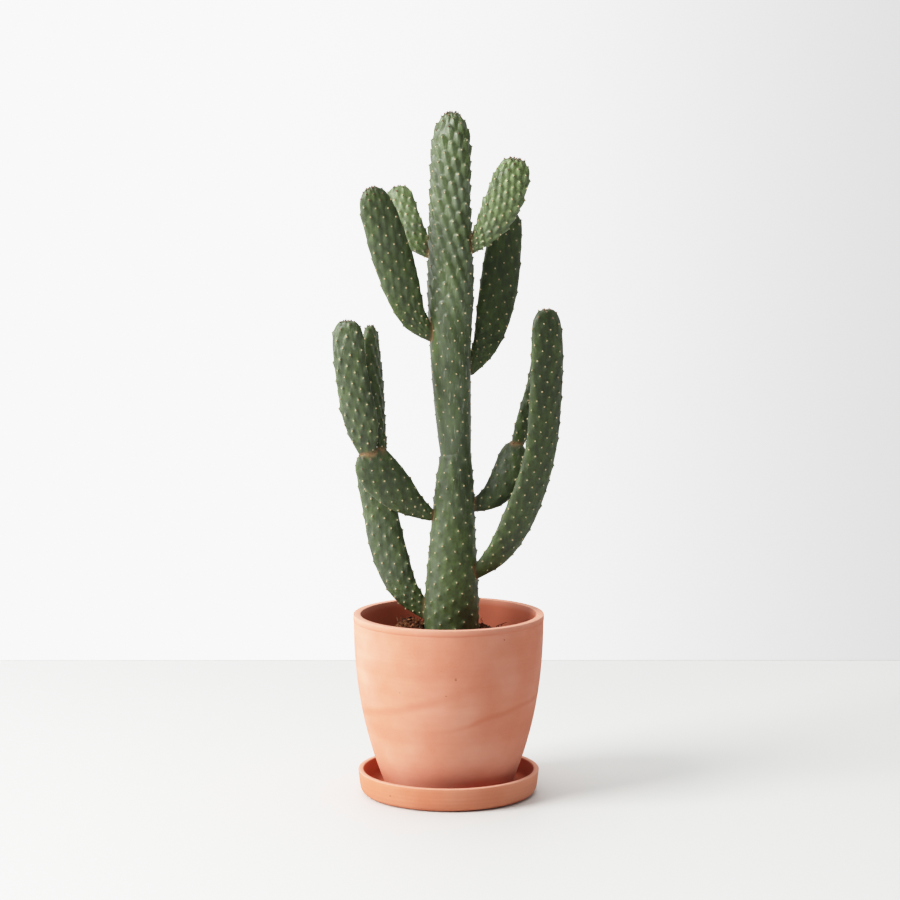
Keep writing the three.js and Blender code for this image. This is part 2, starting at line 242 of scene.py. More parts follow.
# %% Terracotta material
def make_terracotta(name, deep, usual, dusty, slant, line_height, sweep_height, lifted=()):
    """Heights of a turning line and of a sponge sweep are in millimetres."""
    material, add, shader, place = new_material(name)
    # Clouds about 60 mm across.
    clouds = add("TexNoise", {"Vector": place, "Scale": 1 / (60 * MM), "Detail": 3.0})
    # The sweeps of the sponge: long round the clay, short up it.
    squeeze = add(
        "Mapping",
        {"Vector": place, "Rotation": (0, slant, 0), "Scale": (3, 3, 1 / (sweep_height * MM))},
    )
    sweeps = add("TexNoise", {"Vector": squeeze, "Scale": 1.0, "Detail": 2.0})
    # Grains of sand in the clay are about half a millimetre; they are drawn at 2 mm to show.
    grain = add("TexNoise", {"Vector": place, "Scale": 1 / (2 * MM), "Detail": 4.0})
    # A few dark specks of iron, a millimetre or less across.
    specks = add("TexNoise", {"Vector": place, "Scale": 1 / (5 * MM), "Detail": 0.0})
    body = lay_over(add, usual, dusty, clouds, 0.36, 0.66)
    body = lay_over(add, body, deep, sweeps, 0.35, 0.7, 0.32)
    body = lay_over(add, body, dusty, grain, 0.3, 0.7, 0.16)
    # Where the sponge was lifted it left darker sweeps, which slant up to the right.
    for rise, height, width, low, high in lifted:
        across = add(
            "VectorMath", {0: place, 1: (-rise, 0, 1)}, out="Value", operation="DOT_PRODUCT"
        )
        wavy = add("Math", {0: clouds, 1: 12 * MM, 2: across}, operation="MULTIPLY_ADD")
        off = add("Math", {0: wavy, 1: (height + 6) * MM}, operation="SUBTRACT")
        away = add("Math", {0: off}, operation="ABSOLUTE")
        line = add(
            "MapRange", {"Value": away, "From Max": width * MM, "To Min": 0.45, "To Max": 0.0},
            interpolation_type="SMOOTHSTEP",
        )
        from_left = add("SeparateXYZ", {0: place}, out="X")
        body = lay_over(add, body, deep, from_left, low * MM, high * MM, times=[line])
    body = lay_over(add, body, "#8A5138", specks, 0.86, 0.89, 0.6)
    # The inside has no dust on it, and the deep colour laid fully over it is also painted
    # shade inside the pot. The lip is wiped smooth last of all, which brings the red clay up,
    # and the top edge is painted pale, a painted highlight where the rim catches the light.
    edges = (("inner_wall", 1, deep), ("lip", 0.4, deep), ("rim", 0.5, "#E0AC98"))
    for part, most, colour in edges:
        where = add("Attribute", {}, out="Fac", attribute_name=part)
        body = lay_over(add, body, colour, where, most=most)
    # Turning lines as relief, and the grain over them.
    turning = add(
        "TexWave",
        {"Vector": place, "Scale": 2 * math.pi / (20 * line_height * MM), "Distortion": 1.2,
         "Detail": 1.0, "Detail Scale": 2.0},
        out="Fac", bands_direction="Z",
    )
    lines = add("Bump", {"Height": turning, "Strength": 0.12, "Distance": 0.25 * MM})
    sand = {"Height": grain, "Strength": 0.35, "Distance": 0.3 * MM, "Normal": lines}
    set_sockets(shader, {
        "Base Color": body, "Normal": add("Bump", sand), "IOR": 1.45, "Specular IOR Level": 0.3,
        "Roughness": add("MapRange", {"Value": grain, "To Min": 0.82, "To Max": 0.98}),
    })
    return material


# Each darker sweep: how steeply it rises, its height and width in millimetres, and how far
# right of the middle it begins to show and how far it shows fully.
POT_SWEEPS = [(0.23, 86, 5, -30, 30), (0.33, 121, 8, 50, -30)]
pot_clay = make_terracotta(
    "terracotta_pressed_unglazed", "#BE6B52", "#CA7E65", "#D4937D", math.radians(12), 4, 14,
    POT_SWEEPS,
)
saucer_clay = make_terracotta(
    "terracotta_saucer_unglazed", "#AC5F45", "#C5775A", "#D08B70", 0, 3, 3.5
)
print("terracotta:", pot_clay.name, saucer_clay.name)

# %% [markdown]
# ## Turning the pot and the saucer
#
# Both are round, and could be a profile that is spun about the axis. Here they
# are drawn up as a potter does it: one ring is pulled up and widened or narrowed
# again and again, over the rim and down the inside. A bevel then rounds the
# edges that a sponge would round.

# %% Sizes of the pot and the saucer, in millimetres
SAUCER = {"radius": 95.5, "foot": 86, "height": 25.4, "wall": 5.8, "floor": 7.2}
POT = {"radius": 100, "foot": 66, "top": 190.6, "wall": 7.6, "bottom": 7.5, "floor": 17.5}
POT_SWELL = 2.3
LIP_HEIGHT = 6
LIP_PROUD = 0.4
DRAIN_RADIUS = 6.5
SIDES = 160


def pot_radius(height):
    """Outside radius of the pot's side at a height."""
    rise = (height - POT["bottom"]) / (POT["top"] - POT["bottom"])
    spread = POT["radius"] - LIP_PROUD - POT["foot"]
    return POT["foot"] + spread * (1 - (1 - rise) ** POT_SWELL)


# %% Turning
def draw_rings(rings):
    """Extrudes the selected ring to each next one: its half-width, half-depth and height."""
    for (wide, deep, height), (next_wide, next_deep, next_height) in zip(rings, rings[1:]):
        move = (0, 0, (next_height - height) * MM)
        bpy.ops.mesh.extrude_region_move(TRANSFORM_OT_translate={"value": move})
        bpy.ops.transform.resize(
            value=(next_wide / wide, next_deep / deep, 1), center_override=(0, 0, next_height * MM)
        )


def start_ring(name, sides, radius, height):
    """A ring of points on the level, ready to be drawn on."""
    deselect_all()
    bpy.ops.mesh.primitive_circle_add(
        vertices=sides, radius=radius * MM, location=(0, 0, height * MM)
    )
    piece = settle(name)
    bpy.ops.object.mode_set(mode="EDIT")
    return piece


def turn_on_wheel(name, profile):
    """One ring of clay after another, along a profile of radius and height."""
    piece = start_ring(name, SIDES, *profile[0])
    draw_rings([(radius, radius, height) for radius, height in profile])
    bpy.ops.mesh.select_all(action="SELECT")
    bpy.ops.mesh.remove_doubles(threshold=0.01 * MM)
    bpy.ops.mesh.fill_holes(sides=0)
    leave_editing()
    return piece


def round_edges(piece, width):
    apply_modifier(
        piece, "BEVEL", width=width * MM, segments=3, limit_method="ANGLE",
        angle_limit=math.radians(25),
    )
    smooth(piece)


# %% Pot
side_heights = np.arange(POT["bottom"] + 4, POT["top"] - LIP_HEIGHT - 1, 5)
inside_heights = np.arange(POT["floor"] + 6, POT["top"] - 3, 5)[::-1]
shoulder = POT["top"] - LIP_HEIGHT
inside_radius = POT["radius"] - POT["wall"]
pot = turn_on_wheel(
    "terracotta_pot",
    [(DRAIN_RADIUS, POT["bottom"]), (POT["foot"] - 0.4, POT["bottom"])]
    + [(pot_radius(h), h) for h in side_heights]
    + [(pot_radius(shoulder), shoulder - 0.8), (POT["radius"], shoulder)]
    + [(POT["radius"], POT["top"]), (inside_radius, POT["top"])]
    + [(pot_radius(h) - POT["wall"], h) for h in inside_heights]
    + [(pot_radius(POT["floor"]) - POT["wall"] - 2, POT["floor"]), (DRAIN_RADIUS, POT["floor"])]
    + [(DRAIN_RADIUS, POT["bottom"])],
)
round_edges(pot, 1.1)
pot_points = points_of(pot) / MM
pot_reach = reach_of(pot_points)
wall_middle = np.array([pot_radius(h) for h in pot_points[:, 2]]) - POT["wall"] / 2
paint(pot, "inner_wall", (pot_reach < wall_middle) & (pot_points[:, 2] > POT["floor"] - 1))
paint(pot, "lip", (pot_reach > wall_middle + 2) & (pot_points[:, 2] > shoulder - 0.5))
paint(pot, "rim", smooth_step(POT["top"] - 1.2, POT["top"], pot_points[:, 2]))
pot.data.materials.append(pot_clay)
hand_over(pot, "pot", "pot")

# %% Saucer
saucer_inside = SAUCER["radius"] - SAUCER["wall"]
saucer = turn_on_wheel(
    "terracotta_saucer",
    [(20, 0), (SAUCER["foot"] - 2, 0), (SAUCER["foot"] + 2.6, 0.8), (SAUCER["foot"] + 5.4, 3)]
    + [(SAUCER["foot"] + 7, 6.4), (93.9, 12), (SAUCER["radius"], SAUCER["height"])]
    + [(saucer_inside, SAUCER["height"]), (saucer_inside - 2.2, 11), (saucer_inside - 3.4, 8.6)]
    + [(saucer_inside - 6, SAUCER["floor"]), (20, SAUCER["floor"])],
)
round_edges(saucer, 1.3)
saucer_points = points_of(saucer) / MM
paint(saucer, "inner_wall", (reach_of(saucer_points) < 91) & (saucer_points[:, 2] > 6))
paint(saucer, "lip", np.zeros(len(saucer_points)))
paint(saucer, "rim", smooth_step(SAUCER["height"] - 1.2, SAUCER["height"], saucer_points[:, 2]))
saucer.data.materials.append(saucer_clay)
hand_over(saucer, "saucer", "saucer")

# %% [markdown]
# ## What a stem segment is
#
# Every segment grows along a bent line from its joint to its tip. Across that
# line it is an ellipse, nearly round for the trunk and flat for a pad. The
# widths are half-widths, evenly spaced from joint to tip, and the last few
# millimetres close to a round end. The upper trunk also thins towards its tip. A
# pad's broad side faces the front, turned by a few degrees. Area is the skin that
# each areole has, so it sets how far apart they stand; relief is how high its bump
# rises. Tail and ridge are how long and how narrow the crest under it is, as shares
# of the spacing. Fresh says how light and yellow the skin is, and wax how much pale
# wax is left on it, both as values evenly spaced from joint to tip. The pale wax
# also stands in for part of the skin's sheen, as painted sheen. Lean is how much of
# both lies on the right half: the left of the trunk is painted darker, as painted
# shade, and its right paler, as painted sheen. Shine is how smooth the wax is.

# %% Stem segments, in millimetres
STEMS = {
    "trunk_lower": dict(
        route=[[3, 0, 122], [3, 0, 173], [4, 0, 250], [6, 0, 320], [8, 0, 368]],
        widths=[20, 27.4, 28.6, 27, 24.4, 22, 19.3, 14.6],
        thick=26, tip=11, face=0, hand=1, area=150, relief=1.2,
        spiral="wide", tail=0.5, ridge=0.3, lean=0.9, shine=0.2,
        fresh=(0.0, 0.15, 0.4, 0.35, 0.0, 0.0), wax=(0.1, 0.06, 0.02, 0.06, 0.45, 0.55),
    ),
    "trunk_upper": dict(
        route=[[8.5, 0, 343], [5, 0, 397], [2, 0, 465], [2, 0, 540], [1.5, 0, 630], [3.8, 0, 713]],
        widths=[15, 18.2, 20.5, 22.3, 24.2, 22.8, 21, 20.6, 17.5],
        thick=21.5, thick_top=11.5, tip=30, face=-22, hand=1, area=123, relief=2.7,
        spiral="wide", tail=1.45, ridge=0.4, lean=0.95, shine=1.0,
        fresh=(0.0, 0.05, 0.1, 0.2, 0.3), wax=(0.6, 0.65, 0.6, 0.5, 0.5),
    ),
    "pad_upper_left": dict(
        carrier="trunk_upper",
        route=[[-14, -1, 480], [-36, -8, 502], [-54, -17, 553], [-69, -26, 602], [-80, -33, 637]],
        widths=[6, 13, 18, 20.4, 20.2, 18.4, 14],
        thick=8, tip=19, face=8, hand=-1, area=129, relief=1.1,
        spiral="wide", tail=1.3, ridge=0.32, shine=0.5,
        fresh=(0.2, 0.15, 0.1, 0.08), wax=(0.1, 0.2, 0.3, 0.35),
    ),
    "pad_upper_left_back": dict(
        carrier="trunk_upper",
        route=[[-16, 6, 566], [-33, 12, 582], [-44, 19, 601], [-50, 26, 621], [-53, 31, 638]],
        widths=[6, 11.5, 14.6, 15.4, 14.6, 12],
        thick=6, tip=13, face=-12, hand=1, area=72, relief=1.3,
        spiral="slim", tail=0.9, ridge=0.28, shine=0.7,
        fresh=(0.5, 0.6, 0.75), wax=(0.3, 0.5, 0.6),
    ),
    "pad_upper_right": dict(
        carrier="trunk_upper",
        route=[[20, -5, 570], [39, -9, 591], [54, -13, 617], [65, -17, 647], [69.5, -20, 668]],
        widths=[5, 10, 15.6, 18.6, 19, 17.8, 13.5],
        thick=7.5, tip=19, face=-10, hand=1, area=76, relief=2.2,
        spiral="wide", tail=1.3, ridge=0.38, shine=0.9,
        fresh=(0.65, 0.75, 0.85), wax=(0.4, 0.45, 0.5),
    ),
    "pad_upper_right_back": dict(
        carrier="trunk_upper",
        route=[[19, 5, 443], [38, 11, 472], [51, 21, 524], [58, 30, 575], [64, 36, 613]],
        widths=[6, 12.6, 18, 20.4, 20.2, 18, 14],
        thick=8, tip=19, face=14, hand=-1, area=129, relief=1.1,
        spiral="wide", tail=0.6, ridge=0.28, shine=0.2,
        fresh=(0.3, 0.05, 0.0), wax=(0.0, 0.1, 0.15),
    ),
    "pad_mid_left": dict(
        carrier="trunk_lower",
        route=[[-15, -4, 293], [-41, -10, 310], [-68, -17, 337], [-88, -23, 366]],
        widths=[5, 11.5, 18.4, 21.8, 21.4, 19],
        thick=8.5, tip=22, face=6, hand=1, area=129, relief=1.0,
        spiral="wide", tail=0.55, ridge=0.28, shine=0.4,
        fresh=(0.15, 0.05, 0.0), wax=(0.25, 0.4, 0.5),
    ),
    "pad_mid_left_front": dict(
        carrier="pad_mid_left",
        route=[
            [-83, -22, 358], [-88, -27, 385], [-97, -33, 430], [-102, -38, 470], [-103, -41, 504],
        ],
        widths=[7.5, 15.6, 18.6, 17.6, 17, 16.8, 13.5],
        thick=7.5, tip=17, face=-14, hand=1, area=112, relief=1.7,
        spiral="slim", tail=0.7, ridge=0.24, shine=0.9,
        # The pale wax rising towards the tip is partly painted sheen on the upper part of this pad.
        fresh=(0.0, 0.05, 0.15), wax=(0.3, 0.5, 0.8),
    ),
    "pad_mid_left_back": dict(
        carrier="pad_mid_left",
        route=[[-67, -17, 357], [-72, -12, 390], [-76, -9, 429], [-80, -8, 468], [-81, -8, 495]],
        widths=[6, 9.5, 13, 15.5, 16.5, 15.5, 12],
        thick=6.5, tip=15, face=70, hand=-1, area=112, relief=1.6,
        spiral="slim", tail=1.2, ridge=0.32, shine=0.4,
        # The lighter, waxier top of this pad is painted light, where its top is lit past the front
        # pad.
        fresh=(0.0, 0.0, 0.35), wax=(0.0, 0.0, 0.3),
    ),
    "pad_lower_left": dict(
        carrier="trunk_lower",
        route=[[-19, 5, 186], [-47, 11, 215], [-63, 17, 255], [-73, 22, 300], [-86, 27, 357]],
        widths=[6.5, 13.5, 18, 19.2, 18.2, 17, 13.5],
        thick=8, tip=20, face=-8, hand=-1, area=129, relief=1.1,
        spiral="wide", tail=0.6, ridge=0.28, shine=0.6,
        fresh=(0.15, 0.05, 0.0), wax=(0.3, 0.5, 0.6),
    ),
    "pad_lower_right": dict(
        carrier="trunk_lower",
        route=[
            [25, -6, 231], [53, -11, 258], [79, -17, 309], [95, -23, 365], [100, -30, 425],
            [101, -36, 475], [99, -40, 515],
        ],
        widths=[6, 14.6, 19, 19.2, 18.8, 19.2, 19.4, 18.8, 15.2],
        thick=8, tip=19, face=32, hand=1, area=112, relief=1.1,
        spiral="slim", tail=0.55, ridge=0.26, shine=0.3,
        fresh=(0.2, 0.05, 0.0), wax=(0.15, 0.1, 0.1),
    ),
    "pad_mid_right": dict(
        carrier="trunk_lower",
        route=[[19, 2, 302], [43.5, 6, 312], [59, 10, 329], [66.5, 14, 350], [71, 18, 371]],
        widths=[5, 10, 15, 17.2, 15.5, 12.5],
        thick=8, tip=16, face=-10, hand=-1, area=118, relief=0.8,
        spiral="slim", tail=0.55, ridge=0.28, shine=0.4,
        fresh=(0.0, 0.0, 0.0), wax=(0.2, 0.3, 0.4),
    ),
    "pad_mid_right_back": dict(
        carrier="pad_mid_right",
        route=[[70, 17, 362], [82, 22, 394], [93, 27, 425], [99, 32, 458], [101, 36, 482]],
        widths=[6, 10.5, 12.8, 13.4, 13, 11],
        thick=6.5, tip=13, face=30, hand=1, area=100, relief=1.3,
        spiral="slim", tail=0.6, ridge=0.28, shine=0.2,
        fresh=(0.0, 0.0, 0.1), wax=(0.05, 0.1, 0.1),
    ),
}
print("stem segments:", len(STEMS))

# %% [markdown]
# ## The bare shape of a segment
#
# The bent line is a smooth curve through the route's corners, and the width a
# smooth curve through the half-widths. From them every place on the skin
# follows: how far along, from 0 at the joint to 1 at the tip, and how far round.


# %% Smooth curves through a few values
def smooth_through(values, share):
    place = np.clip(share, 0, 1) * (len(values) - 1)
    i = np.minimum(place.astype(int), len(values) - 2)
    f = place - i
    ends = np.array([2 * values[0] - values[1], *values, 2 * values[-1] - values[-2]], float)
    a, b, c, d = (ends[i + k] for k in range(4))
    bend = (2 * a - 5 * b + 4 * c - d) * f**2
    return b + ((c - a) * f + bend + (3 * b - a - 3 * c + d) * f**3) / 2


def smooth_route(corners, samples=60):
    """Points on a curve through the corners, which bends most where they are close."""
    p = np.array(corners, float)
    p = np.vstack([2 * p[0] - p[1], p, 2 * p[-1] - p[-2]])
    f = np.linspace(0, 1, samples, endpoint=False)[:, None]
    line = []
    for p0, p1, p2, p3 in zip(p, p[1:], p[2:], p[3:]):
        d0, d1, d2 = (np.linalg.norm(b - a) ** 0.5 for a, b in ((p0, p1), (p1, p2), (p2, p3)))
        leave = ((p1 - p0) / d0 - (p2 - p0) / (d0 + d1) + (p2 - p1) / d1) * d1
        reach = ((p2 - p1) / d1 - (p3 - p1) / (d1 + d2) + (p3 - p2) / d2) * d1
        bend = (-3 * p1 + 3 * p2 - 2 * leave - reach) * f**2
        line.append(p1 + leave * f + bend + (2 * p1 - 2 * p2 + leave + reach) * f**3)
    return np.vstack(line + [p[-2:-1]])


# %% The bare skin as a surface of round and along
class Stem:
    """The bare shape of one segment, in metres."""

    def __init__(self, name):
        plan = STEMS[name]
        self.name, self.plan = name, plan
        self.line = smooth_route(plan["route"]) * MM
        steps = np.linalg.norm(np.diff(self.line, axis=0), axis=1)
        self.marks = np.concatenate([[0], np.cumsum(steps)])
        self.length = self.marks[-1]
        self.tip_start = 1 - plan["tip"] * MM / self.length
        yaw = math.radians(plan["face"])
        self.facing = np.array([math.sin(yaw), -math.cos(yaw), 0])
        self.widest = max(plan["widths"]) * MM
        # Equal turns are equal lengths of skin round the widest ellipse.
        self.angles = np.linspace(0, 2 * math.pi, 181)
        middle = (self.angles[1:] + self.angles[:-1]) / 2
        step = np.hypot(self.widest * np.sin(middle), plan["thick"] * MM * np.cos(middle))
        self.rounds = np.concatenate([[0], np.cumsum(step)]) / np.sum(step)

    def centre(self, share):
        wanted = np.clip(share, 0, 1) * self.length
        return np.stack([np.interp(wanted, self.marks, self.line[:, k]) for k in range(3)], -1)

    def frame(self, share):
        """Directions across the segment, out of its broad side, and along it."""
        near = 0.004
        along = self.centre(share + near) - self.centre(share - near)
        along /= np.linalg.norm(along, axis=-1, keepdims=True)
        out = self.facing - (along @ self.facing)[..., None] * along
        out /= np.linalg.norm(out, axis=-1, keepdims=True)
        return np.cross(along, out), out, along

    def half_width(self, share):
        over = np.clip((share - self.tip_start) / (1 - self.tip_start), 0, 1)
        return smooth_through(self.plan["widths"], share) * MM * np.sqrt(1 - over**2)

    def half_thick(self, share):
        thick = self.plan["thick"]
        thinned = thick + (self.plan.get("thick_top", thick) - thick) * share
        return thinned * MM * (self.half_width(share) / self.widest) ** 0.75

    def around(self, share):
        a, b = self.half_width(share), self.half_thick(share)
        return math.pi * (3 * (a + b) - np.sqrt((3 * a + b) * (a + 3 * b)))

    def place(self, turn, share):
        angle = np.interp(turn % 1, self.rounds, self.angles)[..., None]
        across, out, _ = self.frame(share)
        a, b = self.half_width(share)[..., None], self.half_thick(share)[..., None]
        return self.centre(share) + across * a * np.cos(angle) - out * b * np.sin(angle)

    def normal(self, turn, share):
        small = 1e-3
        round_step = self.place(turn + small, share) - self.place(turn - small, share)
        above = np.minimum(share + small, 0.9999)
        up_step = self.place(turn, above) - self.place(turn, share - small)
        normal = np.cross(round_step, up_step)
        return normal / np.linalg.norm(normal, axis=-1, keepdims=True)


stems = {name: Stem(name) for name in STEMS}
print("longest segment:", round(max(s.length for s in stems.values()), 3), "m")

# %% [markdown]
# ## Where the areoles sit
#
# A growing tip makes one areole after the other, each turned from the last by
# the golden angle, and the skin then grows between them. So the n-th areole is n
# golden turns round, and as far up as the skin below it needs. Where the tip
# narrows they crowd together.

# %% Spirals of areoles
GOLDEN_TURN = (3 - math.sqrt(5)) / 2
STEEPEST = {"wide": 0.017, "slim": 0.034}
TIP_RING = 3.2
FIRST_AREOLE = 0.012


def areole_spiral(stem):
    """Turn and share along the segment of each areole, from the joint up."""
    plan = stem.plan
    small = 1e-3
    share, shares = FIRST_AREOLE, [FIRST_AREOLE]
    while stem.half_width(share) > TIP_RING * MM or share < 0.5:
        for _ in range(4):
            around = stem.around(share) / MM
            widening = stem.half_width(min(share + small, 1)) - stem.half_width(share)
            slope = widening / (small * stem.length)
            rise = min(plan["area"] / around, STEEPEST[plan["spiral"]] * around)
            share += rise * MM / (math.hypot(1, slope) * stem.length * 4)
        shares.append(share)
    shares = np.array(shares)
    turns = plan["hand"] * GOLDEN_TURN * np.arange(len(shares))
    return turns, shares


spirals = {name: areole_spiral(stem) for name, stem in stems.items()}
print("areoles:", sum(len(shares) for _, shares in spirals.values()))

# %% [markdown]
# ## Growing the bare segments
#
# Each segment is a loft: a ring is added at each station of the line, at its
# size and slant, and all the rings are bridged. The rings stand as far apart as
# their points do, so that two levels of subdivision leave an even, fine skin for
# the tubercles.

# %% Lofting
COLUMNS = {"trunk_lower": 44, "trunk_upper": 34}
PAD_COLUMNS = 28
RING_STEP = 4.4
LAST_RING = 2.2


def ring_shares(stem):
    small = 1e-3
    share, shares = 0.0, [0.0]
    while True:
        slope = (stem.half_width(share + small) - stem.half_width(share)) / small
        share += RING_STEP * MM / math.hypot(stem.length, slope)
        if share > 0.9995 or stem.half_width(share) < LAST_RING * MM:
            return shares
        shares.append(share)


def loft(stem):
    """The smooth closed skin of one segment."""
    columns = COLUMNS.get(stem.name, PAD_COLUMNS)
    deselect_all()
    for share in ring_shares(stem):
        across, out, along = (Vector(axis) for axis in stem.frame(share))
        axes = Matrix((across, -out, along)).transposed()
        width, thick = float(stem.half_width(share)), float(stem.half_thick(share))
        centre = Vector(stem.centre(share))
        bpy.ops.mesh.primitive_circle_add(
            vertices=columns, radius=width, location=centre, rotation=axes.to_euler()
        )
        if share == 0:
            piece = settle(stem.name + "_skin")
            bpy.ops.object.mode_set(mode="EDIT")
        bpy.ops.transform.resize(
            value=(1, thick / width, 1), orient_type="GLOBAL", orient_matrix=axes,
            orient_matrix_type="GLOBAL", center_override=centre,
        )
    bpy.ops.mesh.select_all(action="SELECT")
    bpy.ops.mesh.bridge_edge_loops()
    bpy.ops.mesh.select_all(action="SELECT")
    bpy.ops.mesh.fill_holes(sides=0)
    leave_editing()
    apply_modifier(piece, "SUBSURF", levels=2, render_levels=2)
    return piece


skins = {name: loft(stem) for name, stem in stems.items()}
print("faces of the bare skins:", sum(len(s.data.polygons) for s in skins.values()))

# %% [markdown]
# ## Raising the tubercles
#
# A tubercle is a nose with the areole on its end. Above the areole it drops at
# once; below it a narrow crest runs down between the next two areoles and fades
# out there, so the crests make a net of long diamonds. On old growth they have
# sunk to low mounds. Every point of the skin finds the areoles near it, and takes
# the height of the highest crest it lies on. The heights go into a vertex group,
# and a Displace modifier raises the skin by them.

# %% Crest directions
NEAR_AREOLES = 6
MOST_LEAN = 0.45


def crest_directions(feet, along, side, gap):
    """The way each crest rises: from between its two lower neighbours to its areole."""
    rising = along.copy()
    for k in range(len(feet)):
        offset = feet - feet[k]
        up, over = offset @ along[k] / gap[k], offset @ side[k] / gap[k]
        distance = np.linalg.norm(offset, axis=1) / gap[k]
        below = (up < -0.2) & (distance < 1.9)
        left, right = below & (over < 0), below & (over >= 0)
        if left.any() and right.any():
            a = np.argmin(np.where(left, distance, 9))
            b = np.argmin(np.where(right, distance, 9))
            lean = np.clip((over[a] + over[b]) / (up[a] + up[b]), -MOST_LEAN, MOST_LEAN)
            rising[k] = along[k] + lean * side[k]
    return rising / np.linalg.norm(rising, axis=1, keepdims=True)


# %% Tubercles
def tubercle_heights(points, normals, stem, turns, shares):
    """Height of each point on its tubercle, from 0 in the valley to 1 at the areole."""
    plan = stem.plan
    feet = stem.place(turns, shares)
    outs = stem.normal(turns, shares)
    along = stem.frame(shares)[2]
    along = along - np.sum(along * outs, 1, keepdims=True) * outs
    along /= np.linalg.norm(along, axis=1, keepdims=True)
    # Skin per areole gives its spacing; it shrinks with the tip.
    around = stem.around(shares) / MM
    gap = np.sqrt(np.minimum(plan["area"], STEEPEST[plan["spiral"]] * around**2)) * MM
    rising = crest_directions(feet, along, np.cross(outs, along), gap)
    side = np.cross(outs, rising)
    dice = random.Random(stem.name)
    tall = np.array([dice.uniform(0.8, 1.0) for _ in shares])
    broad = np.array([dice.uniform(0.88, 1.12) for _ in shares])
    heights = np.zeros(len(points))
    for some in parts_of(points):
        offset = points[some, None, :] - feet[None, :, :]
        distance = np.linalg.norm(offset, axis=2)
        facing = normals[some] @ outs.T
        distance_or_far = np.where(facing > 0.1, distance, 1.0)
        near = np.argpartition(distance_or_far, NEAR_AREOLES, axis=1)[:, :NEAR_AREOLES]
        rows = np.arange(len(near))[:, None]
        up = np.sum(offset[rows, near] * rising[near], 2)
        over = np.sum(offset[rows, near] * side[near], 2)
        # The skin is bent, so the straight distance is shared out between the two.
        stretch = distance[rows, near] / (np.hypot(up, over) + 1e-9) / gap[near]
        up, over = up * stretch, over * stretch
        fall = np.clip(-up / plan["tail"], 0, 1)
        crest = np.where(up > 0, 1 - smooth_step(0, 0.3, up), np.cos(fall * math.pi / 2) ** 1.2)
        # The crest is broadest a little below the areole, and narrows down its tail.
        spindle = np.where(up > 0, 1 - 1.2 * up, 1 + 0.5 * np.sin(fall * math.pi) - 0.55 * fall)
        width = plan["ridge"] * spindle * broad[near]
        flank = np.clip(1 - np.abs(over / width), 0, 1) ** 1.15
        mound = np.where(distance_or_far[rows, near] < 1.0, crest * flank * tall[near], 0)
        heights[some] = mound.max(axis=1)
    return heights


# Shares of a segment's length that stay bare above the joint, and the stretch over which
# the upper trunk, filled out and nearly smooth below, comes to its full relief.
BARE = {"trunk_lower": 0.1}
LEAST_BARE = 0.04
FILLED_OUT, FULL_RELIEF = 0.32, 0.64
LOW_RELIEF = 0.16


def relief_shares(stem, share):
    """Tubercles fade out at the joint, and are lower on the crowded tip."""
    bare = BARE.get(stem.name, LEAST_BARE)
    share_up = smooth_step(bare, bare + 0.08, share)
    grown = 1 - 0.5 * smooth_step(stem.tip_start, 1, share)
    if stem.name == "trunk_upper":
        filled = smooth_step(FILLED_OUT, FULL_RELIEF, share)
        grown = grown * (LOW_RELIEF + (1 - LOW_RELIEF) * filled)
    return share_up * grown


STATIONS = 240


def shares_of(points, stem):
    """How far along the segment each point lies, by the nearest station of its line."""
    centres = stem.centre(np.linspace(0, 1, STATIONS))
    nearest = np.empty(len(points))
    for some in parts_of(points):
        nearest[some] = np.argmin(((points[some, None] - centres[None]) ** 2).sum(2), axis=1)
    return nearest / (STATIONS - 1)


def raise_tubercles(piece, stem, turns, shares):
    points, normals = points_of(piece), triples(piece.data.vertex_normals, "vector")
    along = shares_of(points, stem)
    heights = tubercle_heights(points, normals, stem, turns, shares)
    weigh(piece, "tubercles", heights * relief_shares(stem, along))
    apply_modifier(
        piece, "DISPLACE", vertex_group="tubercles", strength=stem.plan["relief"] * MM, mid_level=0
    )
    paint(piece, "tubercle", heights * np.clip(relief_shares(stem, along) + 0.2, 0, 1))
    # Less fresh colour on the left half and more pale wax on the right, as far as the lean: painted
    # shade on the left and painted sheen on the right.
    across = np.sum((points - stem.centre(along)) * stem.frame(along)[0], 1)
    lean = stem.plan.get("lean", 0)
    to_right = smooth_step(-0.8, 0.5, across / (stem.half_width(along) + 1e-6))
    fresh, wax = (smooth_through(stem.plan[kept], along) for kept in ("fresh", "wax"))
    paint(piece, "fresh", fresh * (1 - 0.8 * lean * (1 - to_right)))
    paint(piece, "wax", wax * (1 - lean + 2 * lean * to_right))
    paint(piece, "shine", np.full(len(along), stem.plan["shine"]))
    smooth(piece)


for name, skin in skins.items():
    raise_tubercles(skin, stems[name], *spirals[name])
print("tubercles raised on", len(skins), "segments")

# %% [markdown]
# ## Cork at the joints
#
# A pad sits on its carrier by a narrow joint, which turns to rusty brown cork as
# it ages. Each point near a joint keeps how close it is to the other skin, and
# the skin material paints cork there.

# %% Cork, in millimetres
CORK_REACH = 1.7
ROUND_JOINT = 25


def nearness(piece, other, reach):
    """1 where the piece touches the other one, falling to 0 at the reach."""
    surface = surface_of(other)
    low, high = points_of(other).min(0) - 2 * reach * MM, points_of(other).max(0) + 2 * reach * MM
    points = points_of(piece)
    close = np.zeros(len(points))
    for i in np.nonzero(np.all((points > low) & (points < high), axis=1))[0]:
        hit = surface.find_nearest(points[i], 2 * reach * MM)
        if hit[0] is not None:
            close[i] = math.exp(-((hit[3] / (reach * MM)) ** 2))
    return close


